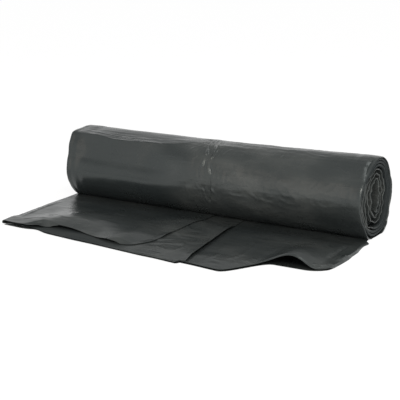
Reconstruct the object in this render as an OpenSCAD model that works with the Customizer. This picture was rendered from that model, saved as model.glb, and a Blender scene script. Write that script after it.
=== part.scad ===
// A coreless roll of bin bags that lies on its side, with the free end of its outermost bag laid out
// in front of it. The bags are one long strip of folded film, so the wound turns and the free end are
// one solid. X runs along the roll, the free end lies towards -Y, and the floor is z = 0 below the
// middle of the roll.

/* [Roll] */
// Length of the roll, which is the width of the folded bags
roll_l = 350; // [300:5:400]
// Width of the roll from front to back
roll_w = 81; // [70:1:90]
// Height of the roll at its left end, which has been pressed flat on top
left_h = 76.5; // [68:0.5:84]
// Height of the roll at its right end, which has stayed round
right_h = 82.5; // [72:0.5:90]
// How square the pressed left end is on top in front, where 2 is an ellipse
left_square = 3.6; // [2:0.1:5]
// How far the front of the pressed left end leans back above the middle
lean_depth = 3.8; // [0:0.2:5]
// How square the right end is where it sags at the back, low down
back_square = 2.6; // [2:0.1:4]
// Width of the flat spot that the soft roll lies on
rest_w = 22; // [14:1:30]
// How far the soft rim of the left end is rounded in
rim_left = 1.4; // [1:0.2:5]
// How far the rim of the right end is rounded in
rim_right = 0.8; // [0.4:0.2:3]
// Height of the crease along the front of the pressed top
crease_h = 1.6; // [0.4:0.2:3]
// Depth of the dents where the outer turns sag between their stiff corners at the right end
dent_depth = 4; // [1:0.5:5]
// Depth of the gathers that run round the middle of the roll
gather_depth = 1.2; // [0.2:0.1:2.4]
// Height of the long slack ripples in the outer turn
ripple_h = 0.7; // [0.2:0.1:1.2]

/* [Ends of the turns] */
// Packs of turns that can be told apart at an end
turns = 8; // [6:1:10]
// Depth of the gap between two packs of turns
gap_depth = 7; // [3:0.5:12]
// Share of a pack's thickness that the gap takes up
gap_share = 0.3; // [0.2:0.02:0.4]
// How far the loose inner turns lie behind the tight outer ones
inner_sunk = 2.4; // [0.5:0.1:4]
// Width of the collapsed hollow in the middle
hollow_w = 6; // [4:0.5:10]
// Height of the collapsed hollow in the middle
hollow_h = 25; // [16:1:32]
// Depth that the hollow stays open to
hollow_depth = 18; // [8:1:40]

/* [Free end of the outer bag] */
// Thickness of a ply of film with the air in it
ply = 0.6; // [0.4:0.1:1]
// Air between two plies that lie on each other
air = 0.2; // [0.1:0.05:0.4]
// Reach of the free end from the roll's axis at its left edge
reach_left = 152; // [120:1:170]
// Reach of the free end at the corner of the fold-over panel
reach_fold = 176; // [150:1:200]
// Reach of the free end at the bag's mouth on the right
reach_mouth = 132; // [110:1:150]
// Width of the panel that is folded over from the left edge
fold_w = 230; // [200:1:245]
// Skew of the fold-over panel's free edge over its reach
fold_skew = 25; // [0:1:32]
// Width of the strip along the fold-over panel's free edge that is set back
notch_w = 9; // [4:0.5:14]
// How far that strip and the bottom panel's edge beside it are set back
notch_d = 6; // [2:0.5:10]
// Width over which the bottom panel keeps its reach beside the notch
full_w = 45; // [36:1:60]
// Width of the loose flap on top of the fold-over panel
flap_w = 175; // [140:1:182]
// Radius of the flap's free corner
flap_corner = 30; // [15:1:45]
// Height that the flap springs up to above the panel near its front
flap_lift = 8.5; // [5:0.5:12]
// How far the flap rolls down again to its front edge
flap_roll = 3.5; // [0:0.5:5]
// How far the flap's front edge is drawn back beside the left fold
flap_draw = 15; // [0:1:20]
// Width of the open mouth in the bottom panel
mouth_w = 58; // [44:1:70]
// Height that the film arches up to at the mouth
mouth_h = 11; // [7:0.5:14]
// How far the mouth's arch runs back towards the roll
mouth_run = 78; // [50:1:90]
// Radius of the bottom panel's right front corner
base_corner = 20; // [10:1:30]
// How far the bottom panel's right edge strays outwards near the mouth
splay = 6; // [0:0.5:8]

/* [Hidden] */
film_black = "#343736";

end_x = roll_l / 2;
around = 56;                    // points round a section of the roll
coarse = 17;                    // evenly spaced sections along the roll
rim_places = [0, 0.8, 2.4, 5, 9]; // distances from an end where its rim takes a section
spiral_points = 190;            // points along one side of an end's spiral
spiral_start = 110;             // where the outer turn's edge lies, in degrees before the back
inner_share = 0.1;              // the innermost turn's share of the end
outer_share = 0.94;             // the outermost gap's share of the end
sunk_share = 0.62;              // the loose inner turns' share of the end
hollow_y = 3.2;                 // the hollow lies this far behind the roll's axis
cut_over = 1;                   // the cuts in an end start this far outside it
gather_x = 3;                   // the middle of the gathers in front
gather_lean = 17;               // how far to the left they lie on top
gather_pitch = 8;               // from one gather to the next
crease_a = 115;                 // the crease's place round the section, in degrees from the back
lean_z = 56;                    // the pressed front lies furthest back at this height
lean_w = 13;                    // and comes forward again over this height above and below it
dents = [                       // place, half width and share of depth of each dent at the right end
    [127, 22, 0.7],
    [28, 18, 0.85],
    [214, 22, 0.8],
    [339, 22, 1]
];

root_y = 4;                     // where the plies end, inside the roll's flat spot
step_w = 35;                    // the bottom panel's edge steps back to the mouth over this width
splay_run = 95;                 // the right edge has strayed outwards by this distance from the axis
mouth_side = 4;                 // from the mouth's arch to the right edge
flap_clear = 6;                 // the flap's lift starts this far in front of the roll
flap_rise = 80;                 // it rises over this width from the left edge
flap_back = 1;                  // its front edge lies this far behind the panel's
roll_run = 15;                  // it rolls down over this distance from its front edge
draw_x = 50;                    // its front edge is drawn back furthest this far from the left edge
draw_w = 60;                    // and comes forward again over this width
notch_step = 1;                 // the bottom panel's edge steps back over this width
bottom_steps = 20;              // strips that the bottom panel is made of beside its straight part
base_rows = 9;                  // rows of facets from the roll to the bottom panel's front
flap_cols = 20;                 // columns of facets in the flap
flap_rows = 12;                 // rows of facets in the flap
edge_steps = 10;                // straight lengths that a long curved edge is made of

fold_x = fold_w - end_x;
notch_x = fold_x - notch_w;
full_x = notch_x + full_w;
flap_x = flap_w - end_x;
mouth_left = end_x - mouth_side - mouth_w;
upper_z = ply + air;
panel_z = 2 * (ply + air);
flap_z = 3 * (ply + air);
bead_r = (flap_z + ply) / 2 + air;

function blend(a, b, k) = a + (b - a) * k;
function smooth(k) = let (c = max(0, min(1, k))) c * c * (3 - 2 * c);
function power(v, e) = sign(v) * pow(abs(v), e);
function hump(k) = k <= 0 || k >= 1 ? 0 : pow(sin(180 * pow(k, 1.2)), 1.2);
function reversed(list) = [for (i = [len(list) - 1:-1:0]) list[i]];
function shares(steps) = [for (i = [0:steps]) i / steps];

// The sections lie closer together at the ends and at the gathers
function insert(list, x) = concat([for (v = list) if (v < x) v], x, [for (v = list) if (v > x) v]);
function with(list, more, i = 0) = i == len(more) ? list : with(insert(list, more[i]), more, i + 1);
places = with(
    [for (i = [1:coarse - 1]) blend(-end_x, end_x, i / coarse)],
    concat(
        [for (side = [-1, 1], d = rim_places) side * (end_x - d)],
        [for (i = [-2:0.5:2 + gather_lean / gather_pitch]) gather_x - i * gather_pitch]
    )
);

// The roll's outline at each place along it
function along(x) = x / roll_l + 0.5;
function roll_h(x) = blend(left_h, right_h, pow(along(x), 2.2));
function half_h(x) = roll_h(x) / (1 + sqrt(1 - pow(rest_w / roll_w, 2)));
function squareness(x, a) =
    a > 90 && a < 180
        ? blend(left_square, 2, smooth(1.3 * along(x)))
        : a > 270 ? blend(2, back_square, smooth(along(x))) : 2;
function bell(v, width) = exp(-pow(v / width, 2));
function rim(x) =
    let (size = x < 0 ? rim_left : rim_right)
    size * pow(max(0, 1 - (end_x - abs(x)) / (2.5 * size)), 2);
function ripple(x, a) = ripple_h * (0.5 + 0.5 * sin(4 * a + 0.7 * x + 50 * sin(1.4 * x)));
function crease(x, a) = crease_h * bell(a - crease_a, 13) * (1 - smooth(2 * along(x)));
function lean(x, a, z) =
    a > 90 && a < 270 ? lean_depth * bell(z - lean_z, lean_w) * (1 - smooth(1.8 * along(x))) : 0;
function apart(a, b) = abs(a - b - 360 * round((a - b) / 360));
function dent(x, a) =
    dent_depth * smooth(2.4 * along(x) - 1.4) * max([for (d = dents) d[2] * bell(apart(a, d[0]), d[1])]);
function gather(x, a) =
    let (d = x - gather_x + gather_lean * bell(a - 90, 40))
    gather_depth * bell(d, 1.6 * gather_pitch) * (0.5 + 0.5 * cos(360 * d / gather_pitch))
        * (0.6 + 0.4 * sin(3 * a + 20));
function inset(x, a) = rim(x) + ripple(x, a) + gather(x, a) + dent(x, a) - crease(x, a);
function section(x, a) =
    let (
        b = half_h(x),
        e = 2 / squareness(x, a),
        in = inset(x, a) + lean(x, a, roll_h(x) - b + b * power(sin(a), e)),
        y = (roll_w / 2 - in) * power(cos(a), e),
        z = roll_h(x) - b + (b - in) * power(sin(a), e)
    )
    [y, max(0, z)];

// A point of an end's spiral: share 0 is the collapsed hollow and share 1 the outer turn
function hollow_point(x, a) = [
    hollow_y + hollow_w / 2 * cos(a),
    0.5 * roll_h(x) + hollow_h / 2 * sin(a)
];
function turn_point(x, share, a) = blend(hollow_point(x, a), section(x, a - 360 * floor(a / 360)), share);
function crumple(share, a) = 0.022 * (1 - share) * sin(5 * a + 60) * sin(1.7 * a);
function gap_side(x, side) = [
    for (i = [0:spiral_points])
        let (
            u = pow(i / spiral_points, 0.7),
            a = 360 * turns * u - spiral_start,
            share = blend(inner_share, outer_share, u) + crumple(u, a)
        )
        turn_point(x, share + side * gap_share / turns / 2, a)
];

// The front edges of the upper panels and of the bottom panel, as distances from the roll's axis
function corner_cut(x, edge, radius) =
    let (d = max(0, x - edge + radius)) radius - sqrt(max(0, radius * radius - d * d));
function reach(x) = blend(reach_left, reach_fold, (x + end_x) / (fold_w - notch_w));
function bottom_reach(x) =
    x < notch_x
        ? reach(x)
        : blend(reach(min(x, full_x)) - notch_d, reach_mouth, smooth((x - full_x) / step_w))
            - corner_cut(x, end_x, base_corner);
function spread(x, y) =
    splay * pow(max(0, (x - fold_x) / (end_x - fold_x)), 2) * smooth(-y / splay_run);
function base_point(x, v) = let (y = blend(root_y, -bottom_reach(x), v)) [x + spread(x, y), y];

module wound_body() {
    last = len(places) - 1;
    sections = [
        for (x = places)
            [for (j = [0:around - 1]) let (p = section(x, 360 * j / around)) [x, p.x, p.y]]
    ];
    polyhedron(
        points = [for (s = sections) each s],
        faces = [
            [for (j = [0:around - 1]) j],
            [for (j = [around - 1:-1:0]) last * around + j],
            for (i = [0:last - 1], j = [0:around - 1])
                let (
                    a = i * around + j,
                    b = i * around + (j + 1) % around
                )
                each [[a, b + around, b], [a, a + around, b + around]]
        ]
    );
}

// Puts a drawing of an end, y to the right and z up, into the roll
module in_end(x, depth) {
    translate([x < 0 ? x - cut_over : x - depth, 0, 0])
        rotate([90, 0, 90])
            linear_extrude(depth + cut_over)
                children();
}

module turn_gaps(x) {
    in_end(x, gap_depth + inner_sunk)
        polygon(concat(gap_side(x, -1), reversed(gap_side(x, 1))));
    in_end(x, inner_sunk)
        polygon([for (j = [0:2:around - 1]) turn_point(x, sunk_share, 360 * j / around)]);
    in_end(x, hollow_depth)
        polygon([for (j = [0:4:around - 1]) turn_point(x, 0, 360 * j / around)]);
}

module wound_turns() {
    difference() {
        wound_body();
        turn_gaps(-end_x);
        turn_gaps(end_x);
    }
}

// A sheet of film between a grid of points on top and the same grid one ply lower
module sheet(top) {
    rows = len(top);
    cols = len(top[0]);
    layer = rows * cols;
    rim_loop = concat(
        [for (c = [0:cols - 1]) c],
        [for (r = [1:rows - 1]) r * cols + cols - 1],
        [for (c = [cols - 2:-1:0]) (rows - 1) * cols + c],
        [for (r = [rows - 2:-1:1]) r * cols]
    );
    polyhedron(
        points = [for (r = top) each r, for (r = top) for (p = r) p - [0, 0, ply]],
        faces = [
            for (r = [0:rows - 2], c = [0:cols - 2])
                let (a = r * cols + c, b = a + cols)
                each [
                    [a, a + 1, b],
                    [a + 1, b + 1, b],
                    [layer + a, layer + b, layer + a + 1],
                    [layer + a + 1, layer + b, layer + b + 1]
                ],
            for (i = [0:len(rim_loop) - 1])
                let (a = rim_loop[i], b = rim_loop[(i + 1) % len(rim_loop)])
                each [[a, layer + b, b], [a, layer + a, layer + b]]
        ]
    );
}

// Where the bottom panel's front edge is bent, the grid lines of its plies lie close together
bottom_columns = concat(
    [-end_x, notch_x - notch_step, notch_x],
    [for (k = shares(bottom_steps)) blend(full_x, end_x, k)]
);
right_edge = [for (v = reversed(shares(edge_steps))) base_point(end_x, v)];

// The bottom panel's lower ply, which lies flat on the floor and is pressed under the roll
module lower_ply() {
    front = [for (x = bottom_columns) if (x < end_x) base_point(x, 1)];
    linear_extrude(ply)
        polygon(concat(front, right_edge, [[-end_x, root_y]]));
}

// The bottom panel's upper ply, which arches up at the bag's mouth
function arch(x, v) =
    mouth_h * hump((x - mouth_left) / mouth_w) * smooth(1 - (1 - v) * reach_mouth / mouth_run);
module upper_ply() {
    sheet([
        for (v = shares(base_rows)) [
            for (x = bottom_columns)
                let (p = base_point(x, v)) [p.x, p.y, upper_z + ply + arch(x, v)]
        ]
    ]);
}

// The panel that is folded over from the left edge
module fold_over_panel() {
    edge = [
        for (v = shares(edge_steps))
            [fold_x - fold_skew * pow(1 - v, 1.3), blend(root_y, notch_d - reach(fold_x), v)]
    ];
    notch = [[notch_x, notch_d - reach(notch_x)], [notch_x, -reach(notch_x)]];
    translate([0, 0, panel_z])
        linear_extrude(ply)
            polygon(concat(edge, notch, [[-end_x, -reach_left], [-end_x, root_y]]));
}

// The loose flap on top, which springs up between its fold and its free edge and rolls down in front
function flap_reach(x) =
    reach(x) - corner_cut(x, flap_x, flap_corner) - flap_back - flap_draw * bell(x + end_x - draw_x, draw_w);
function flap_side(x) =
    smooth((x + end_x) / flap_rise) * (1 - 0.6 * smooth((x - flap_x + flap_corner) / flap_corner));
function lift(x, y, front) =
    let (
        start = roll_w / 2 + flap_clear,
        up = smooth((-y - start) / (front - roll_run - start)),
        over = pow(max(0, 1 - (y + front) / roll_run), 2)
    )
    flap_side(x) * (flap_lift * up - flap_roll * over);
module loose_flap() {
    sheet([
        for (v = shares(flap_rows)) [
            for (k = shares(flap_cols))
                let (
                    x = blend(-end_x, flap_x, 1 - pow(1 - k, 1.25)),
                    front = flap_reach(x),
                    y = blend(root_y, -front, 1 - pow(1 - v, 1.4))
                )
                [x, y, flap_z + ply + lift(x, y, front)]
        ]
    ]);
}

// The soft fold along the left edge, which joins all the plies
module left_fold() {
    for (i = [0:edge_steps - 1])
        hull()
            for (k = [i, i + 1] / edge_steps)
                translate([-end_x + air, blend(root_y, flap_back - reach_left, k), bead_r])
                    sphere(bead_r, $fn = 10);
}

// The fold of the tube along the right edge, which joins the bottom panel's two plies
module right_fold() {
    linear_extrude(2 * ply + air)
        polygon(concat(right_edge, reversed([for (p = right_edge) p - [2 * ply, 0]])));
}

// The plies are pressed together where the roll lies on them
module pressed_root() {
    for (part = [[end_x, upper_z + ply], [fold_x - fold_skew, panel_z + ply], [flap_x, flap_z + ply]])
        translate([-end_x, 0, 0])
            cube([part[0] + end_x, root_y, part[1]]);
}

module leading_bag() {
    pressed_root();
    lower_ply();
    upper_ply();
    fold_over_panel();
    loose_flap();
    left_fold();
    right_fold();
}

module bag_roll() {
    color(film_black)
        union() {
            wound_turns();
            leading_bag();
        }
}

bag_roll();
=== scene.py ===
import math

import bpy
from bpy.props import FloatProperty, IntProperty, PointerProperty, StringProperty
from bpy.types import Operator, Panel, PropertyGroup
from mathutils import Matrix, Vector, noise


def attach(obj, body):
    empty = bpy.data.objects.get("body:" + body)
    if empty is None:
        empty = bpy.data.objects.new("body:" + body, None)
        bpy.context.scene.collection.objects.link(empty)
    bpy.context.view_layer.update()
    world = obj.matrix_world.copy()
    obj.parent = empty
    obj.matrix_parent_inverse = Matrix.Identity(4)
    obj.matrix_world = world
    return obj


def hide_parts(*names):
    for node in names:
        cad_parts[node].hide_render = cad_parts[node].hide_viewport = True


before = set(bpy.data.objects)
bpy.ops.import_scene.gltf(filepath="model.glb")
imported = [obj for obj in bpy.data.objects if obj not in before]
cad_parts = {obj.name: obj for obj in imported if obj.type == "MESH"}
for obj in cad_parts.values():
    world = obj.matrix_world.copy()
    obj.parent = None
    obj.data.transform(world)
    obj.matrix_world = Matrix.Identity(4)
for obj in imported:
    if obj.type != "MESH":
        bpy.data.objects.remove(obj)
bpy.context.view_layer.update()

bl_info = {
    "name": "Bin bag roll",
    "version": (1, 0, 0),
    "blender": (4, 5, 0),
    "location": "View3D > Sidebar > Bin bag roll",
    "description": "A coreless roll of black bin bags with the free end of its outer bag laid out in front",
    "category": "Object",
}

SOLID = "bag_roll"
BODY = "root"
MM = 0.001


class RollSizes(PropertyGroup):
    length: FloatProperty(name="Length", description="Length of the roll", default=0.350, unit="LENGTH")
    width: FloatProperty(name="Width", description="Roll from front to back", default=0.081, unit="LENGTH")
    left_height: FloatProperty(
        name="Left height", description="Height of the pressed left end", default=0.0765, unit="LENGTH")
    right_height: FloatProperty(
        name="Right height", description="Height of the round right end", default=0.0825, unit="LENGTH")
    rest_width: FloatProperty(
        name="Flat spot", description="Width that the roll lies on", default=0.022, unit="LENGTH")
    left_square: FloatProperty(
        name="Left squareness", description="Exponent of the pressed top, 2 is an ellipse", default=3.6)
    back_square: FloatProperty(
        name="Back squareness", description="Exponent where the right end sags at the back", default=2.6)
    crease_height: FloatProperty(
        name="Crease", description="Height of the crease in front of the pressed top", default=0.0016,
        unit="LENGTH")
    lean_depth: FloatProperty(
        name="Lean", description="How far the pressed front leans back", default=0.0038, unit="LENGTH")
    dent_depth: FloatProperty(
        name="Dents", description="Depth of the dents round the right end", default=0.004, unit="LENGTH")
    wrinkle: FloatProperty(
        name="Wrinkles", description="Height of the wrinkles of slack film", default=0.0010, unit="LENGTH")
    tight_packs: IntProperty(
        name="Tight packs", description="Packs of turns that can be told apart in the outer band",
        default=3)
    loose_packs: IntProperty(
        name="Loose packs", description="Crumpled packs of turns round the collapsed middle", default=3)


class FreeEndSizes(PropertyGroup):
    ply_step: FloatProperty(
        name="Ply step", description="Height from one ply to the next", default=0.0008, unit="LENGTH")
    film: FloatProperty(
        name="Film", description="Thickness that the film is drawn with", default=0.0004, unit="LENGTH")
    reach_left: FloatProperty(
        name="Left reach", description="Reach at the left edge", default=0.152, unit="LENGTH")
    reach_fold: FloatProperty(
        name="Fold reach", description="Reach at the fold-over panel's corner", default=0.176,
        unit="LENGTH")
    reach_mouth: FloatProperty(
        name="Mouth reach", description="Reach at the bag's mouth", default=0.132, unit="LENGTH")
    fold_width: FloatProperty(
        name="Fold-over width", description="Width of the fold-over panel", default=0.230, unit="LENGTH")
    fold_skew: FloatProperty(
        name="Fold-over skew", description="Skew of that panel's edge", default=0.024, unit="LENGTH")
    flap_width: FloatProperty(
        name="Flap width", description="Width of the loose flap", default=0.175, unit="LENGTH")
    flap_corner: FloatProperty(
        name="Flap corner", description="Radius of the flap's corner", default=0.030, unit="LENGTH")
    flap_lift: FloatProperty(
        name="Flap lift", description="Height that the flap springs up to", default=0.0085, unit="LENGTH")
    flap_roll: FloatProperty(
        name="Flap roll", description="How far the flap rolls down to its front edge", default=0.0035,
        unit="LENGTH")
    flap_draw: FloatProperty(
        name="Flap draw", description="How far the flap's front edge is drawn back near the left fold",
        default=0.015, unit="LENGTH")
    mouth_width: FloatProperty(
        name="Mouth width", description="Width of the open mouth", default=0.058, unit="LENGTH")
    mouth_height: FloatProperty(
        name="Mouth height", description="Height that the film arches up to", default=0.011, unit="LENGTH")
    base_corner: FloatProperty(
        name="Bottom corner", description="Radius of the bottom panel's corner", default=0.020,
        unit="LENGTH")
    splay: FloatProperty(
        name="Splay", description="How far the right edge strays outwards", default=0.006, unit="LENGTH")


class FilmLook(PropertyGroup):
    colour: StringProperty(name="Film", description="Colour of the film, sRGB hex", default="#262B2C")
    worn_colour: StringProperty(
        name="Stretched film", description="Colour of the film where it is stretched", default="#434645")
    roughness: FloatProperty(name="Roughness", description="Roughness of the film", default=0.27)


def blend(a, b, share):
    return a + (b - a) * share


def smooth(share):
    share = max(0.0, min(1.0, share))
    return share * share * (3 - 2 * share)


def bell(value, width):
    return math.exp(-(value / width) ** 2)


def power(value, exponent):
    return math.copysign(abs(value) ** exponent, value)


# The form of the roll, as its solid has it

CREASE_PLACE = 115
LEAN_HEIGHT = 56 * MM
LEAN_WIDTH = 13 * MM
DENTS = ((127, 22, 0.7), (28, 18, 0.85), (214, 22, 0.8), (339, 22, 1.0))


def along(roll, x):
    return max(0.0, x / roll.length + 0.5)


def roll_height(roll, x):
    return blend(roll.left_height, roll.right_height, along(roll, x) ** 2.2)


def half_height(roll, x):
    return roll_height(roll, x) / (1 + math.sqrt(1 - (roll.rest_width / roll.width) ** 2))


def squareness(roll, x, place):
    if 90 < place < 180:
        return blend(roll.left_square, 2, smooth(1.3 * along(roll, x)))
    if place > 270:
        return blend(2, roll.back_square, smooth(along(roll, x)))
    return 2


def crease(roll, x, place):
    return roll.crease_height * bell(place - CREASE_PLACE, 13) * (1 - smooth(2 * along(roll, x)))


def lean(roll, x, place, z):
    if not 90 < place < 270:
        return 0.0
    return roll.lean_depth * bell(z - LEAN_HEIGHT, LEAN_WIDTH) * (1 - smooth(1.8 * along(roll, x)))


def apart(a, b):
    return abs((a - b + 180) % 360 - 180)


def dent(roll, x, place):
    reach = smooth(2.4 * along(roll, x) - 1.4)
    return roll.dent_depth * reach * max(share * bell(apart(place, a), width) for a, width, share in DENTS)


def section(roll, x, place, inset=0.0):
    """The roll's outline at x; place is in degrees, counted from the back over the top."""
    place = place % 360
    half = half_height(roll, x)
    middle = roll_height(roll, x) - half
    exponent = 2 / squareness(roll, x, place)
    turn = math.radians(place)
    up = power(math.sin(turn), exponent)
    inset += dent(roll, x, place) - crease(roll, x, place) + lean(roll, x, place, middle + half * up)
    out = (roll.width / 2 - inset) * power(math.cos(turn), exponent)
    return Vector((x, out, middle + (half - inset) * up))


def middle_of_turns(roll, x, place):
    """The collapsed hollow that the turns are wound round."""
    turn = math.radians(place)
    return Vector((x, 3.2 * MM + 3 * MM * math.cos(turn),
                   roll_height(roll, x) / 2 + 12.5 * MM * math.sin(turn)))


# Where the crease along the front of the pressed top lies: mm along the roll, degrees round it
CREASE_LINE = ((-175, 119), (-145, 117), (-133, 119), (-120, 123.5), (-87, 122), (-60, 119), (-46, 115),
               (-28, 103))
CREST = 0.2 * MM         # how far the crease stands out of the section
PLANES_FROM = 91        # degrees round the roll
PLANES_TO = 194
PLANES_SOFT = 168       # from here the front one runs out softly
PLANES_RISE = 26 * MM   # they rise to their whole height over this length from the left end
PLANES_WHOLE = -80 * MM  # and keep it up to here
PLANES_RUN_OUT = 60 * MM
planes = {}             # the crease's place and the planes' corners at each x, worked out once


def line_at(points, x):
    """The value at x of a line through points."""
    for (x0, value0), (x1, value1) in zip(points, points[1:]):
        if x <= x1:
            return blend(value0, value1, max(0.0, (x - x0) / (x1 - x0)))
    return points[-1][1]


def pressed(roll, x, place):
    """How far the flat planes of the pressed half lie outside the section; they meet in the crease."""
    share = 0.3 + 0.7 * smooth((x + roll.length / 2) / PLANES_RISE)
    share *= 1 - smooth((x - PLANES_WHOLE) / PLANES_RUN_OUT)
    share *= 1 - smooth((place - PLANES_SOFT) / (PLANES_TO - PLANES_SOFT))
    if share <= 0 or not PLANES_FROM < place < PLANES_TO:
        return 0.0
    if x not in planes:
        edge = line_at(CREASE_LINE, x / MM)
        corners = [section(roll, x, at, -out).yz
                   for at, out in ((PLANES_FROM, 0.0), (edge, CREST), (PLANES_TO, 0.0))]
        planes[x] = edge, corners
    edge, (back, crest, front) = planes[x]
    middle = Vector((0, roll_height(roll, x) - half_height(roll, x)))
    way = section(roll, x, place).yz - middle
    start, run = (back, crest - back) if place < edge else (crest, front - crest)
    reach = (start - middle).cross(run) / way.cross(run)
    return share * (reach - 1) * roll.width / 2


def turn_point(roll, x, share, place):
    """A point of a turn inside the roll, at this share of the way from the middle to the outline."""
    outline = section(roll, x, place, -pressed(roll, x, place % 360))
    return middle_of_turns(roll, x, place).lerp(outline, share)


# The relief of the film, as heights over the roll's form

AROUND = 0.7 * MM       # length of one degree of the roll's outline

# Folds of the outer turn: points (mm along the roll, degrees round it), height and width in mm
FOLDS = (
    # The pinch in the middle: a V below the top, the slit under it, and the gathers beside them
    (((-12, 86), (-9, 100), (-6, 115), (-4, 129), (-4, 134)), 2.0, 0.9),
    (((-3, 90), (2, 106), (4, 120), (4, 133), (2, 142)), 1.9, 0.9),
    (((-4, 104), (-1, 120), (0, 134)), -1.6, 1.4),
    (((2, 145), (6, 158), (7, 177), (5, 199), (4, 204)), -1.8, 1.4),
    (((1, 160), (2, 170), (2, 182), (0, 196)), 0.35, 1.0),
    (((11, 146), (13, 158), (14, 175), (12, 187)), 0.6, 1.1),
    (((20, 154), (20, 174)), 0.45, 1.4),
    (((-2, 181), (1, 199), (3, 208)), 1.0, 1.2),
    (((8, 181), (12, 188), (13, 197)), 0.7, 1.2),
    (((-5, 132), (-5, 147), (-6, 158), (-5, 174)), 0.65, 1.0),
    (((-3, 139), (-2, 155), (0, 169)), -0.7, 1.3),
    (((-19, 144), (-14, 135), (-12, 123)), 0.4, 1.0),
    (((-12, 108), (-22, 118), (-27, 130)), 0.4, 1.1),
    (((14, 132), (16, 120), (22, 112)), 0.55, 1.1),
    (((-15, 118), (-19, 140), (-17, 162)), 0.35, 1.0),
    # Slack of the right half, mostly along the lower edge of the light band
    (((50, 178), (60, 187), (70, 190), (82, 190)), 0.5, 1.3),
    (((28, 184), (36, 188), (46, 186)), 0.35, 1.4),
    (((84, 182), (98, 188), (113, 186)), 0.4, 1.4),
    (((126, 184), (140, 186), (155, 184)), 0.35, 1.4),
    (((79, 111), (77, 125)), 0.5, 0.9),
    (((64, 95), (76, 97), (88, 96)), 0.45, 1.0),
    (((51, 136), (62, 138), (76, 137)), -0.5, 1.6),
    (((130, 151), (120, 166)), 0.35, 1.1),
    (((105, 144), (114, 147), (122, 146)), 0.35, 1.0),
    (((28, 112), (40, 121), (56, 124)), 0.4, 1.1),
    (((96, 98), (110, 104), (134, 106)), 0.4, 1.2),
    # Long folds in the pressed top
    (((-168, 98), (-140, 106), (-100, 108), (-60, 104), (-22, 96)), 0.45, 1.1),
    (((-130, 110), (-118, 114), (-96, 113)), 0.35, 1.0),
)


def sharp(gap, width):
    """The profile of a crease: a sharp crest that runs out softly."""
    return max(0.0, 1 - gap / (2.2 * width)) ** 2


def distance_to_line(x, y, points):
    """Distance to a line of points, and how far along it the nearest place is, from 0 to 1."""
    best, best_part = 1e9, 0.0
    count = len(points) - 1
    for number in range(count):
        (x0, y0), (x1, y1) = points[number], points[number + 1]
        dx, dy = x1 - x0, y1 - y0
        part = max(0.0, min(1.0, ((x - x0) * dx + (y - y0) * dy) / (dx * dx + dy * dy)))
        gap = math.hypot(x - x0 - part * dx, y - y0 - part * dy)
        if gap < best:
            best, best_part = gap, (number + part) / count
    return best, best_part


FOLD_LINES = tuple(
    (tuple((px * MM, place * AROUND) for px, place in points), height * MM, width * MM)
    for points, height, width in FOLDS
)


def folds(x, place):
    y = place * AROUND
    wander = Vector((x / (9 * MM), y / (9 * MM), 0.5))
    x += 0.8 * MM * noise.noise(wander)
    y += 0.8 * MM * noise.noise(wander + Vector((7, 3, 1)))
    total = 0.0
    for points, height, width in FOLD_LINES:
        reach = 4 * width
        if not (min(p[0] for p in points) - reach < x < max(p[0] for p in points) + reach):
            continue
        if not (min(p[1] for p in points) - reach < y < max(p[1] for p in points) + reach):
            continue
        gap, part = distance_to_line(x, y, points)
        taper = smooth(5 * part) * smooth(5 * (1 - part)) * (0.75 + 0.5 * noise.noise(wander * 1.5))
        total += 0.8 * height * taper * (sharp(gap, width) - 0.3 * bell(gap - 2.4 * width, width))
    return total


def streaks(point, place):
    """Long fine lines where the film was drawn tight along the roll, mostly on top."""
    stretched = Vector((point.x / 0.09, point.y / 0.0055, point.z / 0.0055))
    line = max(0.0, 1 - abs(noise.noise(stretched)) * 2.6)
    top = 0.25 + 0.75 * smooth((135 - place) / 25) * smooth((place - 40) / 20)
    return 0.26 * MM * line * top


def slack(point):
    """Soft waves of slack film, longer along the roll than round it."""
    wave = Vector((point.x / 0.075, point.y / 0.03, point.z / 0.03))
    fold = Vector((point.x / 0.030 + 5, point.y / 0.014, point.z / 0.014))
    return 0.60 * MM * noise.noise(wave) + 0.26 * MM * noise.noise(fold)


def crinkles(point, size):
    """Meandering sharp creases of crumpled film, from 0 to about 1."""
    place = point / size
    place = place + 0.35 * Vector((noise.noise(place + Vector((9, 2, 5))), noise.noise(place), 0))
    return 0.5 * noise.ridged_multi_fractal(place, 0.9, 2.1, 3, 0.95, 1.6)


def end_ripples(roll, x, place):
    """The outer turn stands in soft folds near the ends, where nothing holds it."""
    gap = roll.length / 2 - abs(x)
    wave = noise.noise(Vector((x / 0.007, place / 50, 1.5)))
    wave += 0.6 * noise.noise(Vector((x / 0.016, place / 28, 9)))
    left_line = -0.9 * bell(x + roll.length / 2 - 6 * MM, 1.3 * MM)
    left_line *= 0.7 + noise.noise(Vector((place / 30, 2, 0)))
    return 0.6 * MM * wave * smooth((40 * MM - gap) / (30 * MM)) + 0.8 * MM * left_line


BULGE = 1.7 * MM
BULGE_PLACE = 3         # degrees round the roll, as RIM_PLACE is
RIM_FALL = 3.4 * MM
RIM_PLACE = 116
RIM_WIDTH = 9 * MM      # how much of the roll's length the fallen rim takes up


def end_form(roll, x, place):
    """At the right end the outer turn bulges at the back, and its slack rim falls in on top in front."""
    gap = roll.length / 2 - x
    bulge = BULGE * bell(apart(place, BULGE_PLACE), 17) * smooth((60 * MM - gap) / (50 * MM))
    return bulge - RIM_FALL * max(0.0, 1 - gap / RIM_WIDTH) ** 2 * bell(apart(place, RIM_PLACE), 30)


def crumple(x, place):
    """How crumpled the outer turn is, from 0, drawn tight, to 1."""
    patch = 0.5 + 0.5 * noise.noise(Vector((x / 0.045 + 3, place / 36, 8.8)))
    right = smooth((x + 60 * MM) / (50 * MM)) * (1 - 0.6 * smooth((x - 105 * MM) / (30 * MM)))
    return max(0.0, min(1.0, 0.12 + right * (0.25 + 1.1 * patch * patch)))


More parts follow.
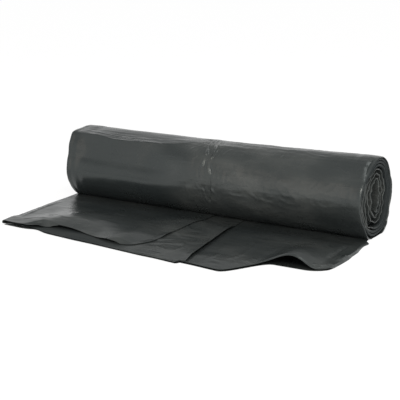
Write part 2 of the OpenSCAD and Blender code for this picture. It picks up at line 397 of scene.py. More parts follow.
def skin_relief(roll, x, place):
    point = section(roll, x, place)
    rough = roll.wrinkle * crumple(x, place)
    small = crinkles(point, 0.024) + 0.35 * crinkles(point + Vector((0.1, 0, 0)), 0.010)
    form = pressed(roll, x, place) + end_form(roll, x, place) + end_ripples(roll, x, place)
    return form + folds(x, place) + streaks(point, place) + slack(point) + rough * (small - 0.5)


# Making pieces

def deselect():
    if bpy.context.object and bpy.context.object.mode != "OBJECT":
        bpy.ops.object.mode_set(mode="OBJECT")
    bpy.ops.object.select_all(action="DESELECT")


def film_piece(name, columns, rows, place_of, closed=False):
    """Adds a grid and lays each of its points on the film; a closed one meets itself along a seam.

    place_of gives a point's place, how crumpled the film is there, and a value from 0, the film's glossy
    face, to 1, the matt face of stacked cut edges; the same value is painted shade in deep creases and
    under the flap.
    """
    deselect()
    bpy.ops.mesh.primitive_grid_add(x_subdivisions=columns, y_subdivisions=rows, size=2)
    piece = bpy.context.object
    piece.name = name
    piece.data.name = name
    crumpled = piece.data.attributes.new("crumple", "FLOAT", "POINT")
    # The edge layer holds the matt face of cut edges, and also painted shade in deep creases and under the
    # flap
    edges = piece.data.attributes.new("edge", "FLOAT", "POINT")
    for vertex in piece.data.vertices:
        across = 0.5 + 0.5 * vertex.co.x
        down = 0.5 + 0.5 * vertex.co.y
        vertex.co, crumples, dull_and_painted_shade = place_of(across, down)
        crumpled.data[vertex.index].value = crumples
        edges.data[vertex.index].value = dull_and_painted_shade
    if closed:
        bpy.ops.object.mode_set(mode="EDIT")
        bpy.ops.mesh.select_all(action="SELECT")
        bpy.ops.mesh.remove_doubles(threshold=0.01 * MM)
        bpy.ops.mesh.normals_make_consistent(inside=False)
        bpy.ops.object.mode_set(mode="OBJECT")
    return piece


def thicken(piece, thickness, offset):
    wall = piece.modifiers.new("Film", "SOLIDIFY")
    wall.thickness = thickness
    wall.offset = offset
    wall.use_even_offset = False
    bpy.context.view_layer.objects.active = piece
    bpy.ops.object.modifier_apply(modifier=wall.name)


def finish_piece(piece, material):
    piece.data.materials.clear()
    piece.data.materials.append(material)
    deselect()
    piece.select_set(True)
    bpy.context.view_layer.objects.active = piece
    bpy.ops.object.shade_smooth_by_angle(angle=math.radians(42))
    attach(piece, BODY)
    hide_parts(SOLID)


# Materials

def linear(hex_colour):
    """An sRGB hex value as the linear colour that a shader takes."""
    values = [int(hex_colour[i:i + 2], 16) / 255 for i in (1, 3, 5)]
    return [v / 12.92 if v <= 0.04045 else ((v + 0.055) / 1.055) ** 2.4 for v in values] + [1.0]


def add_node(tree, kind, settings=None, links=None):
    """Adds a node, sets its properties and inputs, and links (output, input) pairs to it."""
    node = tree.nodes.new(kind)
    for key, value in (settings or {}).items():
        if isinstance(key, str) and hasattr(node, key):
            setattr(node, key, value)
        else:
            node.inputs[key].default_value = value
    for socket, source in (links or {}).items():
        tree.links.new(source, node.inputs[socket])
    return node


def film_material(look, name, pull):
    """Low-density polyethylene film, blown and filled with carbon black.

    It has a soft gloss, so each crinkle shows as a short light line, and it is greyer where it is
    drawn tight. pull stretches the pattern along the way the film is drawn.
    """
    material = bpy.data.materials.new(name)
    material.use_nodes = True
    tree = material.node_tree
    tree.nodes.clear()
    place = add_node(tree, "ShaderNodeTexCoord").outputs["Object"]
    crumpled = add_node(tree, "ShaderNodeAttribute", {"attribute_name": "crumple"}).outputs["Fac"]
    edge = add_node(tree, "ShaderNodeAttribute", {"attribute_name": "edge"}).outputs["Fac"]
    drawn = add_node(tree, "ShaderNodeMapping", {"Scale": pull}, {"Vector": place}).outputs["Vector"]
    ridges = {
        "noise_type": "RIDGED_MULTIFRACTAL", "Detail": 3.0, "Roughness": 0.5, "Offset": 0.9, "Gain": 1.6}
    # Creases about 14 mm apart, and the crackle about 4 mm apart between them
    wide = add_node(tree, "ShaderNodeTexNoise", {**ridges, "Scale": 1 / 0.022}, {"Vector": drawn})
    close = add_node(tree, "ShaderNodeTexNoise", {**ridges, "Scale": 1 / 0.007}, {"Vector": drawn})
    # Faint lines along the film from the blowing and winding, 2 mm apart. The real ones are finer, and
    # are drawn this coarse so that they show
    lines = add_node(
        tree, "ShaderNodeTexNoise", {"Scale": 1.0, "Detail": 2.0},
        {"Vector": add_node(
            tree, "ShaderNodeMapping", {"Scale": (12, 420, 420)}, {"Vector": place}).outputs["Vector"]})
    waves = add_node(tree, "ShaderNodeTexNoise", {"Scale": 1 / 0.03, "Detail": 3.0}, {"Vector": place})
    strength = add_node(
        tree, "ShaderNodeMapRange", {"To Min": 0.06, "To Max": 0.50}, {"Value": crumpled}).outputs["Result"]
    broad = add_node(
        tree, "ShaderNodeBump", {"Distance": 0.0009}, {"Height": wide.outputs["Fac"], "Strength": strength})
    fine = add_node(
        tree, "ShaderNodeBump", {"Distance": 0.00035},
        {"Height": close.outputs["Fac"], "Strength": strength, "Normal": broad.outputs["Normal"]})
    drawn_lines = add_node(
        tree, "ShaderNodeBump", {"Strength": 0.14, "Distance": 0.00012},
        {"Height": lines.outputs["Fac"], "Normal": fine.outputs["Normal"]})
    # Crumpled film has whitened a little, most along its creases
    paler = add_node(
        tree, "ShaderNodeMath", {"operation": "MULTIPLY_ADD", 1: 0.6},
        {0: wide.outputs["Fac"], 2: waves.outputs["Fac"]})
    pale = add_node(
        tree, "ShaderNodeMath", {"operation": "MULTIPLY", "use_clamp": True},
        {0: paler.outputs[0], 1: crumpled})
    tint = add_node(
        tree, "ShaderNodeMixRGB", {"Color1": linear(look.colour), "Color2": linear(look.worn_colour)},
        {"Fac": pale.outputs[0]})
    rough = add_node(
        tree, "ShaderNodeMapRange",
        {"From Min": 0.3, "From Max": 0.7, "To Min": look.roughness - 0.04,
         "To Max": look.roughness + 0.08},
        {"Value": waves.outputs["Fac"]})
    # Stacked cut edges are duller than the film's face; the same value makes painted shade in deep creases
    # and under the flap
    dull_and_painted_shade = add_node(
        tree, "ShaderNodeMath", {"operation": "MULTIPLY_ADD", 1: 0.35},
        {0: edge, 2: rough.outputs["Result"]})
    level = add_node(tree, "ShaderNodeMapRange", {"To Min": 0.5, "To Max": 0.21}, {"Value": edge})
    shader = add_node(
        tree, "ShaderNodeBsdfPrincipled",
        {"IOR": 1.51, "Metallic": 0.0, "Specular Tint": (0.93, 1.0, 0.98, 1.0)},
        {"Base Color": tint.outputs["Color"], "Roughness": dull_and_painted_shade.outputs[0],
         "Specular IOR Level": level.outputs["Result"], "Normal": drawn_lines.outputs["Normal"]})
    add_node(tree, "ShaderNodeOutputMaterial", links={"Surface": shader.outputs["BSDF"]})
    return material


def floor_material():
    """Matt white paper, a little brighter for the camera and for reflections, as a lit sweep is."""
    material = bpy.data.materials.new("white_paper")
    material.use_nodes = True
    tree = material.node_tree
    tree.nodes.clear()
    path = add_node(tree, "ShaderNodeLightPath")
    seen = add_node(
        tree, "ShaderNodeMath", {"operation": "MAXIMUM"},
        {0: path.outputs["Is Camera Ray"], 1: path.outputs["Is Glossy Ray"]})
    share = add_node(tree, "ShaderNodeMath", {"operation": "MULTIPLY", 1: 0.76}, {0: seen.outputs[0]})
    level = add_node(
        tree, "ShaderNodeMath", {"operation": "MULTIPLY_ADD", 1: 0.08, 2: 1.05},
        {0: path.outputs["Is Camera Ray"]})
    matt = add_node(tree, "ShaderNodeBsdfDiffuse", {"Color": linear("#F4F4F4")})
    glow = add_node(tree, "ShaderNodeEmission", {"Color": (1, 1, 1, 1)}, {"Strength": level.outputs[0]})
    both = add_node(
        tree, "ShaderNodeMixShader", links={0: share.outputs[0], 1: matt.outputs[0], 2: glow.outputs[0]})
    add_node(tree, "ShaderNodeOutputMaterial", links={"Surface": both.outputs[0]})
    return material


def look_of(context):
    name = "polyethylene_film"
    return bpy.data.materials.get(name) or film_material(context.scene.film_look, name, (0.45, 1.0, 1.0))


# The roll

RIM = 1.0 * MM          # the outer turn's rounded rim
RECESS = 10 * MM        # how deep the gaps between the turns can be seen into
INSIDE = 0.965          # share of the radius of the outermost turn's inside
CROWDING = 25           # degrees that the columns are moved by, so they lie closest together in front
CROWDED_AT = 0.42       # part of the way round
MIDDLE_TURN = 36 * MM   # radius that a pack's thickness is a share of


def ragged_end(place, side):
    """How far the outermost turn's edge strays from the end's plane."""
    turn = math.radians(place)
    around = Vector((math.cos(turn) * 1.7, math.sin(turn) * 1.7, side * 3.3))
    return 0.9 * MM * (noise.noise(around) + 0.5 * noise.noise(around * 3.1)) - 0.3 * MM


def skin_stops(half):
    """The way from the middle of one recess, out over the skin and into the other one.

    Each stop gives the part of the rows used up, the place along the roll and the share of the radius.
    The rows lie closest together at the pinch.
    """
    return (
        (0.000, -half + RECESS, 0.0), (0.015, -half + RECESS, INSIDE), (0.030, -half + RIM, INSIDE),
        (0.036, -half, 0.978), (0.042, -half + 0.4 * RIM, 0.992), (0.048, -half + 2 * RIM, 1.0),
        (0.26, -24 * MM, 1.0), (0.52, 26 * MM, 1.0),
        (0.952, half - 2 * RIM, 1.0), (0.958, half - 0.4 * RIM, 0.992), (0.964, half, 0.978),
        (0.970, half - RIM, INSIDE), (0.985, half - RECESS, INSIDE), (1.000, half - RECESS, 0.0),
    )


class ADD_OT_roll_skin(Operator):
    """Add the outer turn of the roll, with its crease, pinch and slack"""
    bl_idname = "bag_roll.add_skin"
    bl_label = "Outer turn"

    around = 224
    lengthwise = 400

    def execute(self, context):
        roll = context.scene.roll_sizes
        half = roll.length / 2
        floor_gap = 0.4 * MM
        stops = skin_stops(half)

        def place_of(across, down):
            place = 360 * (across % 1.0) - CROWDING * math.sin(2 * math.pi * (across - CROWDED_AT))
            for (low, x0, share0), (high, x1, share1) in zip(stops, stops[1:]):
                if down <= high + 1e-9:
                    break
            x = blend(x0, x1, (down - low) / (high - low))
            share = blend(share0, share1, (down - low) / (high - low))
            side = -1 if x < 0 else 1
            if share <= INSIDE and abs(x) < half - RIM - 0.01 * MM:
                point = turn_point(roll, x, share, place)
            else:
                form = pressed(roll, x, place % 360)
                # The relief dies out over the rim, but the roll's form doesn't
                relief = form + (skin_relief(roll, x, place % 360) - form) * smooth((share - 0.9) / 0.09)
                point = middle_of_turns(roll, x, place).lerp(section(roll, x, place, -relief), share)
                point.x += side * ragged_end(place, side) * smooth(1 - (half - abs(x)) / (9 * MM))
            point.z = max(floor_gap, point.z)
            return point, crumple(x, place % 360), float(share <= INSIDE)

        skin = film_piece("roll_skin", self.around, self.lengthwise, place_of, closed=True)
        finish_piece(skin, look_of(context))
        return {"FINISHED"}


class ADD_OT_roll_turns(Operator):
    """Add the packs of turns that show at both ends, tight outside and crumpled inside"""
    bl_idname = "bag_roll.add_turns"
    bl_label = "Turns at the ends"

    points = 2200

    def turn_at(self, roll, progress):
        """Degrees wound and share of the radius, at this part of the way in from the skin."""
        packs = roll.tight_packs + roll.loose_packs
        count = packs * (1 - (1 - progress) ** 1.35)
        if count < roll.tight_packs:
            return 360 * count, blend(0.95, 0.64, count / roll.tight_packs)
        return 360 * count, blend(0.64, 0.10, (count - roll.tight_packs) / roll.loose_packs)

    def add_end(self, context, side):
        roll = context.scene.roll_sizes
        half = roll.length / 2
        # A pack's outline: part of its thickness, and of its height from the recess's floor to its edge
        outline = ((-1, 0), (-1, 0.5), (-1, 0.82), (-0.75, 0.95), (0, 1), (0.75, 0.95), (1, 0.82), (1, 0.5),
                   (1, 0), (-1, 0))
        rows = len(outline)

        def place_of(across, down):
            thick, high = outline[round(down * (rows - 1))]
            wound, share = self.turn_at(roll, across)
            place = 250 - wound
            turn = math.radians(place)
            around = Vector((math.cos(turn), math.sin(turn), 0.0))
            # In front the turns have sprung apart; on top and behind the outer ones are still tight
            front = bell(apart(place, 190), 62)
            loose = smooth((0.62 + 0.37 * front - share) / 0.10)
            # Neighbouring packs share most of a crumple, so they seldom cross
            shared = noise.noise(around * 2.2 + Vector((0, 0, share * 2.2 + side)))
            own = noise.noise(around * 2.6 + Vector((0, 0, wound / 120)))
            share += loose * (0.054 * shared + 0.031 * own) + 0.004 * own
            lean_in = noise.noise(around * 3.5 + Vector((wound / 90, side, 0)))
            share += high * high * (0.004 + 0.024 * loose) * lean_in
            width = blend(1.75 * MM, 0.85 * MM, loose) * min(1.0, 40 * across, 40 * (1 - across))
            # The packs stay inside the outer turn, also below the fallen rim of the right end
            share = min(share, 0.955 - 0.11 * bell(apart(place, RIM_PLACE), 34) * (side + 1) / 2)
            share += thick * width / MIDDLE_TURN
            edge = blend(0.5, 2.4, loose) * MM
            edge += 0.3 * MM * noise.noise(around * 3 + Vector((wound / 200, 5, side)))
            edge += loose * 1.4 * MM * noise.noise(around * 3.5 + Vector((wound / 90, 1, side)))
            x = side * (half - blend(RECESS + 0.5 * MM, max(0.1 * MM, edge), high))
            point = turn_point(roll, x, max(0.03, min(0.96, share)), place)
            return point, loose, (1 - loose) * high

        name = "roll_turns_" + ("right" if side > 0 else "left")
        turns = film_piece(name, self.points, rows - 1, place_of, closed=True)
        finish_piece(turns, look_of(context))

    def execute(self, context):
        self.add_end(context, -1)
        self.add_end(context, 1)
        return {"FINISHED"}


# The free end of the outer bag

ROOT_Y = 4 * MM          # where the plies end, pressed under the roll
FULL_WIDTH = 45 * MM     # the bottom panel's full reach runs on beside the fold-over panel
STEP_WIDTH = 35 * MM     # its edge steps back to the mouth over this width
NOTCH_WIDTH = 9 * MM     # the fold-over panel's corner is cut back over this width
NOTCH = 6 * MM
MOUTH_SIDE = 4 * MM      # from the mouth's arch to the right edge
MOUTH_PULL = 1.1         # the arch comes down a little before that
MOUTH_RUN = 78 * MM      # how far the mouth's arch runs back
FLAP_CLEAR = 6 * MM      # the flap's lift starts this far in front of the roll
FLAP_CREST = 17 * MM     # it rolls down over this distance from its front edge
FLAP_DRAWN = 83 * MM     # its front edge is drawn back furthest this far from the left edge
LAID_DULL = 0.08         # the laid-out film is a little duller than the roll's; a cut edge is 1
PANEL_BOW = 2.6 * MM     # how far the fold-over panel bows up, and how far under the flap
UNDER_BOW = 0.4 * MM
DROOP = 24 * MM          # it comes down over this distance from its front edge
LIP = 1.1 * MM           # the lip of the mouth is turned down by this
LIP_WIDTH = 3 * MM
TUCK = 4.5 * MM          # at the left fold the plies between the outer two lie this far back
FOLD_COLUMNS = 8         # columns that the rounded left fold is made of

# Creases of the free end: points (mm along the roll, mm in front of its axis), height and width in mm
BOTTOM_CREASES = (
    (((162, 48), (162, 69), (162, 87), (164, 106)), -2.3, 1.3),
    (((156, 56), (155, 74), (154, 96)), 0.5, 2.0),
    (((100, 60), (112, 90), (108, 118)), 0.5, 3.0),
    (((75, 70), (88, 96), (92, 130), (84, 160)), 0.6, 2.6),
    (((60, 110), (72, 140), (70, 168)), 0.5, 2.4),
    (((161, 127), (168, 120), (173, 110)), 2.1, 1.5),
    (((169, 103), (171, 90), (173, 82), (175, 75)), 1.7, 1.2),
    (((165, 101), (167, 88), (170, 78)), 0.8, 1.2),
    (((140, 50), (150, 66), (158, 74)), 0.6, 2.0),
)
PANEL_CREASES = (
    (((-14, 166), (6, 164), (40, 167)), 0.9, 2.0),
    (((-6, 158), (14, 152), (34, 158)), 0.7, 2.0),
    (((2, 148), (12, 139), (26, 136), (38, 128)), 0.8, 1.8),
    (((-4, 134), (10, 128), (22, 120)), 0.6, 1.8),
    (((8, 100), (24, 112), (36, 110)), 0.6, 2.4),
    (((30, 120), (38, 142), (34, 160)), 0.6, 2.0),
    (((2, 70), (20, 84), (38, 84)), 0.5, 2.4),
)
FLAP_CREASES = (
    (((-168, 20), (-170, 80), (-168, 140)), 0.9, 1.8),
    (((-166, 140), (-150, 132), (-128, 134)), 0.7, 1.8),
    (((-150, 112), (-138, 122), (-124, 118)), 0.7, 1.6),
    (((-126, 100), (-116, 112), (-108, 110)), 0.9, 1.6),
    (((-132, 118), (-118, 126), (-100, 126)), 0.6, 1.8),
    (((-96, 60), (-80, 76), (-70, 74)), 0.5, 2.4),
)

# Where the flap's front edge hangs lower: mm along the roll, width and drop in mm
FLAP_SAGS = ((-98, 40, 2.2), (-66, 22, 3.8), (-33, 8, -1.4), (-14, 16, 1.4))

# Where the flap's front edge has turned down: mm along the roll, mm in front of its axis
TURNED_DOWN = ((-152, 160), (-147, 150.5), (-133, 138.5), (-113, 141), (-106, 155))


def crease_lines(creases):
    return tuple((tuple((x * MM, y * MM) for x, y in points), height * MM, width * MM)
                 for points, height, width in creases)


def creases(x, y, lines):
    """Height of the creases at x and at the distance y in front of the roll's axis."""
    wander = Vector((x / 0.012, y / 0.012, 3.5))
    x += 1.2 * MM * noise.noise(wander)
    y += 1.2 * MM * noise.noise(wander + Vector((5, 2, 8)))
    total = 0.0
    for points, height, width in lines:
        gap, part = distance_to_line(x, y, points)
        total += height * smooth(4 * part) * smooth(4 * (1 - part)) * sharp(gap, width)
    return total


def corner_cut(x, edge, radius):
    over = max(0.0, x - edge + radius)
    return radius - math.sqrt(max(0.0, radius ** 2 - over ** 2))


def reach(end, half, x):
    """How far in front of the roll's axis the fold-over panel ends; it dips back near the left fold."""
    wave = 1.0 * MM * noise.noise(Vector((x / 0.03, 4.4, 0))) + 4.0 * MM * bell(x + 134 * MM, 10 * MM)
    straight = blend(end.reach_left, end.reach_fold, (x + half) / (end.fold_width - NOTCH_WIDTH))
    return straight - wave


def bottom_reach(end, half, x):
    notch_x = end.fold_width - half - NOTCH_WIDTH
    full_x = notch_x + FULL_WIDTH
    before = reach(end, half, min(x, full_x)) - NOTCH * smooth((x - notch_x) / (2 * MM))
    if x < notch_x:
        before -= 1.5 * MM
    return blend(before, end.reach_mouth, smooth((x - full_x) / STEP_WIDTH)) - corner_cut(
        x, half, end.base_corner)


def tucked(x):
    """How far the plies between the outer two lie back beside the left fold, but not in it."""
    return TUCK * smooth((-134 * MM - x) / (10 * MM)) * smooth((x + 174 * MM) / (7 * MM))


def spread(end, half, x, y):
    """How far the right half strays outwards, most about 75 mm in front of the roll's axis.

    A small tip sticks out 27 mm in front of it, where the film leaves the roll.
    """
    fold_x = end.fold_width - half
    share = max(0.0, (x - fold_x) / (half - fold_x)) ** 2
    stray = end.splay * smooth(-y / 0.095) + 1.8 * MM * bell(y + 0.075, 0.035)
    stray += 2.2 * MM * bell(y + 0.027, 0.006) - 3 * MM * smooth((y + 0.024) / 0.006)
    ragged = 0.8 * MM * noise.noise(Vector((y / 0.016, 6.1, 0))) * smooth((x - half + 0.02) / 0.02)
    return stray * share + ragged * smooth((-y - 0.04) / 0.02)


def hump(k):
    return 0.0 if k <= 0 or k >= 1 else math.sin(math.pi * k ** 1.2) ** 1.2


def arch(end, half, x, down):
    left = half - MOUTH_SIDE - end.mouth_width
    run = smooth(1 - (1 - down) * end.reach_mouth / MOUTH_RUN)
    return end.mouth_height * hump(MOUTH_PULL * (x - left) / end.mouth_width) * run


def lie(x, y):
    """The soft waves in which all the plies lie together; they die out under the roll."""
    free = smooth((-y - 30 * MM) / (50 * MM))
    wave = noise.noise(Vector((x / 0.055, y / 0.09, 2.2)))
    wave += 0.5 * noise.noise(Vector((x / 0.02, y / 0.05, 7.1)))
    return 0.5 * MM * free * (0.6 + wave)


def laid_crumple(x, y, number):
    """How crumpled a laid-out ply is; the fold-over panel is the most so."""
    patch = 0.5 + 0.5 * noise.noise(Vector((x / 0.05, y / 0.04, 5.5 * number)))
    return max(0.0, min(1.0, (0.15, 0.35, 0.15)[number - 1] + 0.8 * patch * patch))


def ply_relief(x, y, number):
    """Fine wrinkles of one ply, drawn out along the bag's width."""
    line = 1 - 2 * abs(noise.noise(Vector((x / 0.035, y / 0.010, 3.7 * number))))
    small = crinkles(Vector((x * 0.7, y, number * 0.1)), 0.022)
    return 0.14 * MM * line + 0.55 * MM * laid_crumple(x, y, number) * (small - 0.4)


class ADD_OT_bottom_panel(Operator):
    """Add the bottom panel: two plies that are open at the mouth and folded at both sides"""
    bl_idname = "bag_roll.add_bottom_panel"
    bl_label = "Bottom panel"

    around = 470
    lengthwise = 103

    def execute(self, context):
        end = context.scene.free_end_sizes
        half = context.scene.roll_sizes.length / 2
        film = end.film
        gap = end.ply_step
        lines = crease_lines(BOTTOM_CREASES)

        def ply_point(x, down, upper):
            down = 1 - (1 - down) ** 1.3
            y = blend(ROOT_Y, -bottom_reach(end, half, x) + (tucked(x) if upper else 0), down)
            z = film / 2 + 0.02 * MM
            dull_and_painted_shade = LAID_DULL
            if upper:
                free = smooth((-y - 30 * MM) / (30 * MM))
                low = 0.15 * MM + 0.6 * lie(x, y) + free * (ply_relief(x, y, 1) + 0.4 * MM)
                # The edges fall to the floor, so they catch the light from over the roll
                edge = smooth((half + 5 * MM - x) / (22 * MM)) * smooth((1 - down) * 5 + 0.3)
                bow = 1.6 * MM * smooth((x - 30 * MM) / (40 * MM)) * free * edge
                z = gap + film / 2 + arch(end, half, x, down) + max(0.0, low) + bow
                fold = creases(x, -y, lines) * free
                z += fold
                # Painted shade: a deep crease is made duller and so darker, for the little light that gets
                # into it
                dull_and_painted_shade += 0.8 * min(1.0, max(0.0, -fold / (1.2 * MM)))
                # The lip of the mouth is turned down a little, so it shows as a light rim
                lip = max(0.0, 1 - (1 - down) * end.reach_mouth / LIP_WIDTH) ** 2
                z -= LIP * lip * min(1.0, arch(end, half, x, 1.0) / (3 * MM))
            return Vector((x + spread(end, half, x, y), y, z)), laid_crumple(x, y, 1), dull_and_painted_shade

        def place_of(across, down):
            # Round the tube: the lower ply to the right, the fold, and the upper ply back
            if across < 0.5:
                return ply_point(blend(-half, half, across / 0.5), down, False)
            if across >= 1.0:
                return ply_point(-half, down, False)
            return ply_point(blend(half, -half, (across - 0.5) / 0.5), down, True)

        panel = film_piece("bottom_panel", self.around, self.lengthwise, place_of, closed=True)
        thicken(panel, film, 0.0)
        finish_piece(panel, look_of(context))
        return {"FINISHED"}


class ADD_OT_folded_panel(Operator):
    """Add the sheet that is folded over from the left edge and ends in the loose flap"""
    bl_idname = "bag_roll.add_folded_panel"
    bl_label = "Fold-over panel and flap"

    across_points = 420
    lengthwise = 115

    def execute(self, context):
        end = context.scene.free_end_sizes
        half = context.scene.roll_sizes.length / 2
        width = context.scene.roll_sizes.width
        fold_x = end.fold_width - half
        flap_x = end.flap_width - half
        left = -half - 0.5 * MM
        panel_lines = crease_lines(PANEL_CREASES)
        flap_lines = crease_lines(FLAP_CREASES)

        def under_flap(x):
            """Under the flap the panel lies flatter and smoother; painted shade of the flap makes it duller
            and less pale, a dark strip.
            """
            return smooth((-15 * MM - x) / (40 * MM))

        def panel_height(x, y):
            front = reach(end, half, x)
            free = smooth((-y - 34 * MM) / (30 * MM))
            droop = smooth(1 - (y + front) / DROOP)
            bow = blend(PANEL_BOW, UNDER_BOW, under_flap(x)) * free
            curl = 0.9 * MM * smooth(1 - (fold_x - x) / (7 * MM)) * free
            low = lie(x, y) * (1 - 0.6 * droop) + free * ply_relief(x, y, 2) * (1 - 0.7 * under_flap(x))
            z = 2 * end.ply_step + 0.2 * MM + max(0.0, low) + bow * (1 - droop) + curl
            return z + creases(x, -y, panel_lines) * free * (1 - 0.5 * droop)

        def panel_point(x, down):
            notch = NOTCH * smooth((x - fold_x + NOTCH_WIDTH) / (1.5 * MM))
            front = reach(end, half, x) - notch - tucked(x)
            y = blend(ROOT_Y, -front, 1 - (1 - down) ** 1.3)
            skew = end.fold_skew * (1 - down) ** 1.3 * ((x + half) / end.fold_width)
            # Painted shade of the flap: under it the film is made less pale and duller
            crumpled = laid_crumple(x, y, 2) * (1 - 0.6 * under_flap(x))
            dull_and_painted_shade = blend(LAID_DULL, 1.0, under_flap(x))
            return Vector((x - skew, y, panel_height(x, y))), crumpled, dull_and_painted_shade

        def flap_front(x):
            drawn = smooth((x + half - 30 * MM) / (30 * MM)) * (
                0.50 + 0.62 * bell(x + half - FLAP_DRAWN, 38 * MM))
            back = reach(end, half, x) - corner_cut(x, flap_x, end.flap_corner) - 1.5 * MM
            return back - end.flap_draw * drawn + 0.3 * MM * noise.noise(Vector((x / 0.018, 1.7, 4)))

        def flap_point(x, down):
            front = flap_front(x)
            y = blend(ROOT_Y, -front, 1 - (1 - down) ** 1.4)
            free = smooth((-y - width / 2 - FLAP_CLEAR) / (30 * MM))
            start = width / 2 + FLAP_CLEAR + 24 * MM * smooth((x - flap_x + 50 * MM) / (50 * MM))
            rise = smooth((-y - start) / (front - FLAP_CREST - start))
            side = smooth((x + half) / 0.080) * (1 - 0.22 * smooth((x + 75 * MM) / (35 * MM)))
            side *= 1 - 0.55 * smooth((x - flap_x + end.flap_corner) / end.flap_corner)
            over = max(0.0, 1 - (y + front) / FLAP_CREST) ** 1.6
            # A small triangle of the front edge has turned down by itself
            ridge = line_at(TURNED_DOWN, x / MM) * MM
            turned = min(6 * MM, 0.85 * max(0.0, -y - ridge))
            turned -= 1.8 * MM * bell(x + 131 * MM, 17 * MM) * bell(y + 137 * MM, 17 * MM)
            left_bulge = 0.9 * MM * bell(x + half - 14 * MM, 18 * MM) * free
            edge_lift = 0.8 * MM * smooth(1 - (flap_x - x) / (8 * MM)) * smooth((-y - start) / (30 * MM))
            z = 3 * end.ply_step + 0.5 * MM + side * (end.flap_lift * rise - end.flap_roll * over)
            sag = sum(drop * bell(x / MM - at, wide) for at, wide, drop in FLAP_SAGS)
            z -= sag * MM * smooth(1 - (y + front) / (32 * MM))
            z += max(0.0, lie(x, y) + free * ply_relief(x, y, 3)) + left_bulge + edge_lift
            z += creases(x, -y, flap_lines) * free - turned
            # The flap lies on the panel where it would sink into it
            below = panel_height(x, y) + end.ply_step + 0.25 * MM
            below += 1.7 * MM * smooth((-127 * MM - x) / (9 * MM)) * smooth((-y - 122 * MM) / (16 * MM))
            return Vector((x, y, max(below, z))), laid_crumple(x, y, 3), LAID_DULL

        def place_of(across, down):
            # From the panel's free edge to the left fold, round it, and back to the flap's free edge
            split = end.fold_width / (end.fold_width + end.flap_width)
            turn = (across - split) * self.across_points / FOLD_COLUMNS
            half_fold = 0.5 * FOLD_COLUMNS / self.across_points
            if turn < -0.5:
                return panel_point(blend(fold_x, left, across / (split - half_fold)), down)
            if turn > 0.5:
                start = split + half_fold
                return flap_point(blend(left, flap_x, (across - start) / (1 - start)), down)
            low, crumpled, edge = panel_point(left, down)
            high = flap_point(left, down)[0]
            point = low.lerp(high, 0.5 + 0.5 * math.sin(math.pi * turn))
            point.x -= 0.5 * (high.z - low.z) * math.cos(math.pi * turn)
            return point, crumpled, edge

        sheet = film_piece("folded_panel", self.across_points, self.lengthwise, place_of)
        thicken(sheet, end.film, 0.0)
        finish_piece(sheet, look_of(context))
        return {"FINISHED"}


# The stage

CAMERA_PLACE = Vector((0.692, -1.2383, 0.39907))
CAMERA_YAW = 30.20
CAMERA_PITCH = 15.16
SENSOR = 36.0
FOCAL_SHARE = 3.467     # focal length over the width of the picture


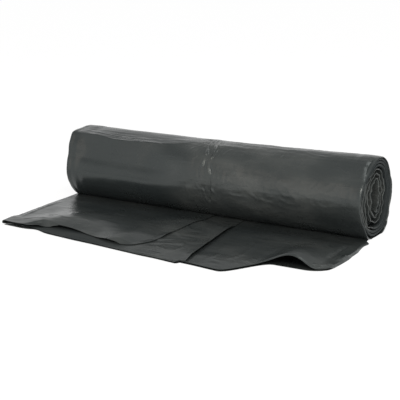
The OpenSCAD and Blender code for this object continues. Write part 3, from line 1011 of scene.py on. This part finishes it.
class ADD_OT_stage(Operator):
    """Add the floor, the light and the camera"""
    bl_idname = "bag_roll.add_stage"
    bl_label = "Stage"

    def add_lamp(self, name, place, target, size, power_w, colour):
        deselect()
        bpy.ops.object.light_add(type="AREA", location=place)
        lamp = bpy.context.object
        lamp.name = name
        lamp.data.shape = "RECTANGLE"
        lamp.data.size, lamp.data.size_y = size
        lamp.data.energy = power_w
        lamp.data.color = linear(colour)[:3]
        lamp.rotation_euler = (Vector(place) - Vector(target)).to_track_quat("Z", "Y").to_euler()

    def execute(self, context):
        deselect()
        bpy.ops.mesh.primitive_plane_add(size=8.0, location=(0, 0, 0))
        floor = bpy.context.object
        floor.name = "floor"
        floor.data.materials.append(floor_material())

        world = bpy.data.worlds.new("studio")
        context.scene.world = world
        world.use_nodes = True
        tree = world.node_tree
        tree.nodes.clear()
        # A white sweep all round and a dimmer ceiling: the height of the direction sets the strength
        path = add_node(tree, "ShaderNodeLightPath")
        direction = add_node(tree, "ShaderNodeTexCoord")
        height = add_node(tree, "ShaderNodeSeparateXYZ", links={"Vector": direction.outputs["Generated"]})
        studio = add_node(
            tree, "ShaderNodeMapRange",
            {"interpolation_type": "SMOOTHSTEP", "From Min": 0.27, "From Max": 0.60, "To Min": 1.0,
             "To Max": 0.50},
            {"Value": height.outputs["Z"]})
        strength = add_node(
            tree, "ShaderNodeMath", {"operation": "MAXIMUM"},
            {0: studio.outputs["Result"], 1: path.outputs["Is Camera Ray"]})
        sky = add_node(
            tree, "ShaderNodeBackground", {"Color": (1, 1, 1, 1)}, {"Strength": strength.outputs[0]})
        add_node(tree, "ShaderNodeOutputWorld", links={"Surface": sky.outputs[0]})

        self.add_lamp("key_softbox", (0.50, -0.95, 0.85), (0.05, 0, 0.03), (0.4, 0.4), 4.5, "#FFF8F0")
        self.add_lamp("warm_softbox", (-0.30, -0.93, 0.50), (0.08, 0, 0.04), (0.28, 0.95), 0.62, "#FFE5D7")
        self.add_lamp("top_softbox", (0.33, 0.12, 1.0), (0.02, 0, 0.07), (0.35, 0.35), 1.2, "#FFFFFF")
        self.add_lamp("side_softbox", (0.85, -0.75, 0.45), (0.10, 0, 0.03), (0.45, 0.45), 1.5, "#FFF6EC")

        yaw, pitch = math.radians(CAMERA_YAW), math.radians(CAMERA_PITCH)
        back = Vector((math.sin(yaw) * math.cos(pitch), -math.cos(yaw) * math.cos(pitch), math.sin(pitch)))
        deselect()
        bpy.ops.object.camera_add(location=CAMERA_PLACE)
        camera = bpy.context.object
        camera.rotation_euler = back.to_track_quat("Z", "Y").to_euler()
        camera.data.sensor_width = SENSOR
        camera.data.lens = SENSOR * FOCAL_SHARE
        camera.data.clip_end = 20.0
        context.scene.camera = camera
        context.scene.view_settings.view_transform = "Standard"
        return {"FINISHED"}


class VIEW3D_PT_bag_roll(Panel):
    bl_label = "Bin bag roll"
    bl_idname = "VIEW3D_PT_bag_roll"
    bl_space_type = "VIEW_3D"
    bl_region_type = "UI"
    bl_category = "Bin bag roll"

    def draw(self, context):
        for owner in (context.scene.roll_sizes, context.scene.free_end_sizes, context.scene.film_look):
            box = self.layout.box()
            for key in owner.__annotations__:
                box.prop(owner, key)
        for operator in OPERATORS:
            self.layout.operator(operator.bl_idname)


OPERATORS = (
    ADD_OT_roll_skin,
    ADD_OT_roll_turns,
    ADD_OT_bottom_panel,
    ADD_OT_folded_panel,
    ADD_OT_stage,
)
CLASSES = (RollSizes, FreeEndSizes, FilmLook) + OPERATORS + (VIEW3D_PT_bag_roll,)


def register():
    for cls in CLASSES:
        bpy.utils.register_class(cls)
    bpy.types.Scene.roll_sizes = PointerProperty(type=RollSizes)
    bpy.types.Scene.free_end_sizes = PointerProperty(type=FreeEndSizes)
    bpy.types.Scene.film_look = PointerProperty(type=FilmLook)


def unregister():
    del bpy.types.Scene.film_look
    del bpy.types.Scene.free_end_sizes
    del bpy.types.Scene.roll_sizes
    for cls in reversed(CLASSES):
        bpy.utils.unregister_class(cls)


def main():
    register()
    bpy.ops.bag_roll.add_skin()
    bpy.ops.bag_roll.add_turns()
    bpy.ops.bag_roll.add_bottom_panel()
    bpy.ops.bag_roll.add_folded_panel()
    bpy.ops.bag_roll.add_stage()


if __name__ == "__main__":
    main()
